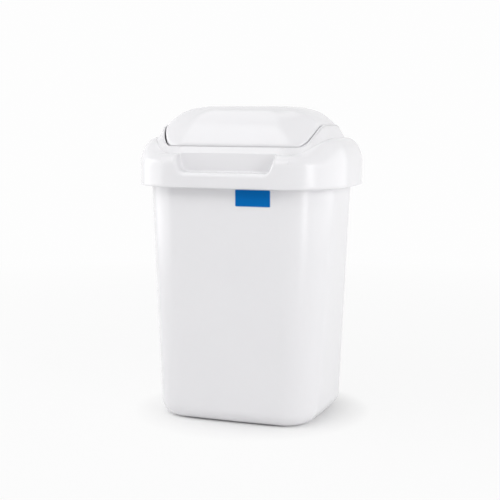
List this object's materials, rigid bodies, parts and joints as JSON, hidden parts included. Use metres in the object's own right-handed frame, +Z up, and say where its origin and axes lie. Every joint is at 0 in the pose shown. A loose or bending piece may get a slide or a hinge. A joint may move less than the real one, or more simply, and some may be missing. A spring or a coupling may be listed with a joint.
{
  "type": "countertop swing lid trash can",
  "caption": "Small tapered bin: a tub with rounded corners, a lift-off lid frame with a finger recess, and a domed flap that swings both ways on two pins.",
  "frame": {"origin": "under the middle of the foot, on the surface the can stands on", "axes": "+Z up; -Y is the front, with the finger recess and the label; +X to the right seen from the front, along the pivot axis"},
  "size_m": [0.228, 0.17, 0.3295],
  "materials": {
    "bucket_plastic": "glossy white polypropylene",
    "lid_plastic": "glossy white polypropylene",
    "flap_plastic": "glossy white polypropylene",
    "label_film": "blue film label, bare"
  },
  "bodies": {
    "tub": {"bucket": "bucket_plastic", "label": "label_film"},
    "lid": {"lid_frame": "lid_plastic"},
    "flap": {"swing_flap": "flap_plastic"}
  },
  "joints": [
    {"name": "lid_lift", "type": "slide", "parent": "tub", "child": "lid", "axis": [0, 0, 1], "range_m": [0, 0.1]},
    {"name": "flap_swing", "type": "hinge", "parent": "lid", "child": "flap", "pos_m": [0, 0, 0.3005], "axis": [1, 0, 0], "range_deg": [-80, 80]}
  ]
}
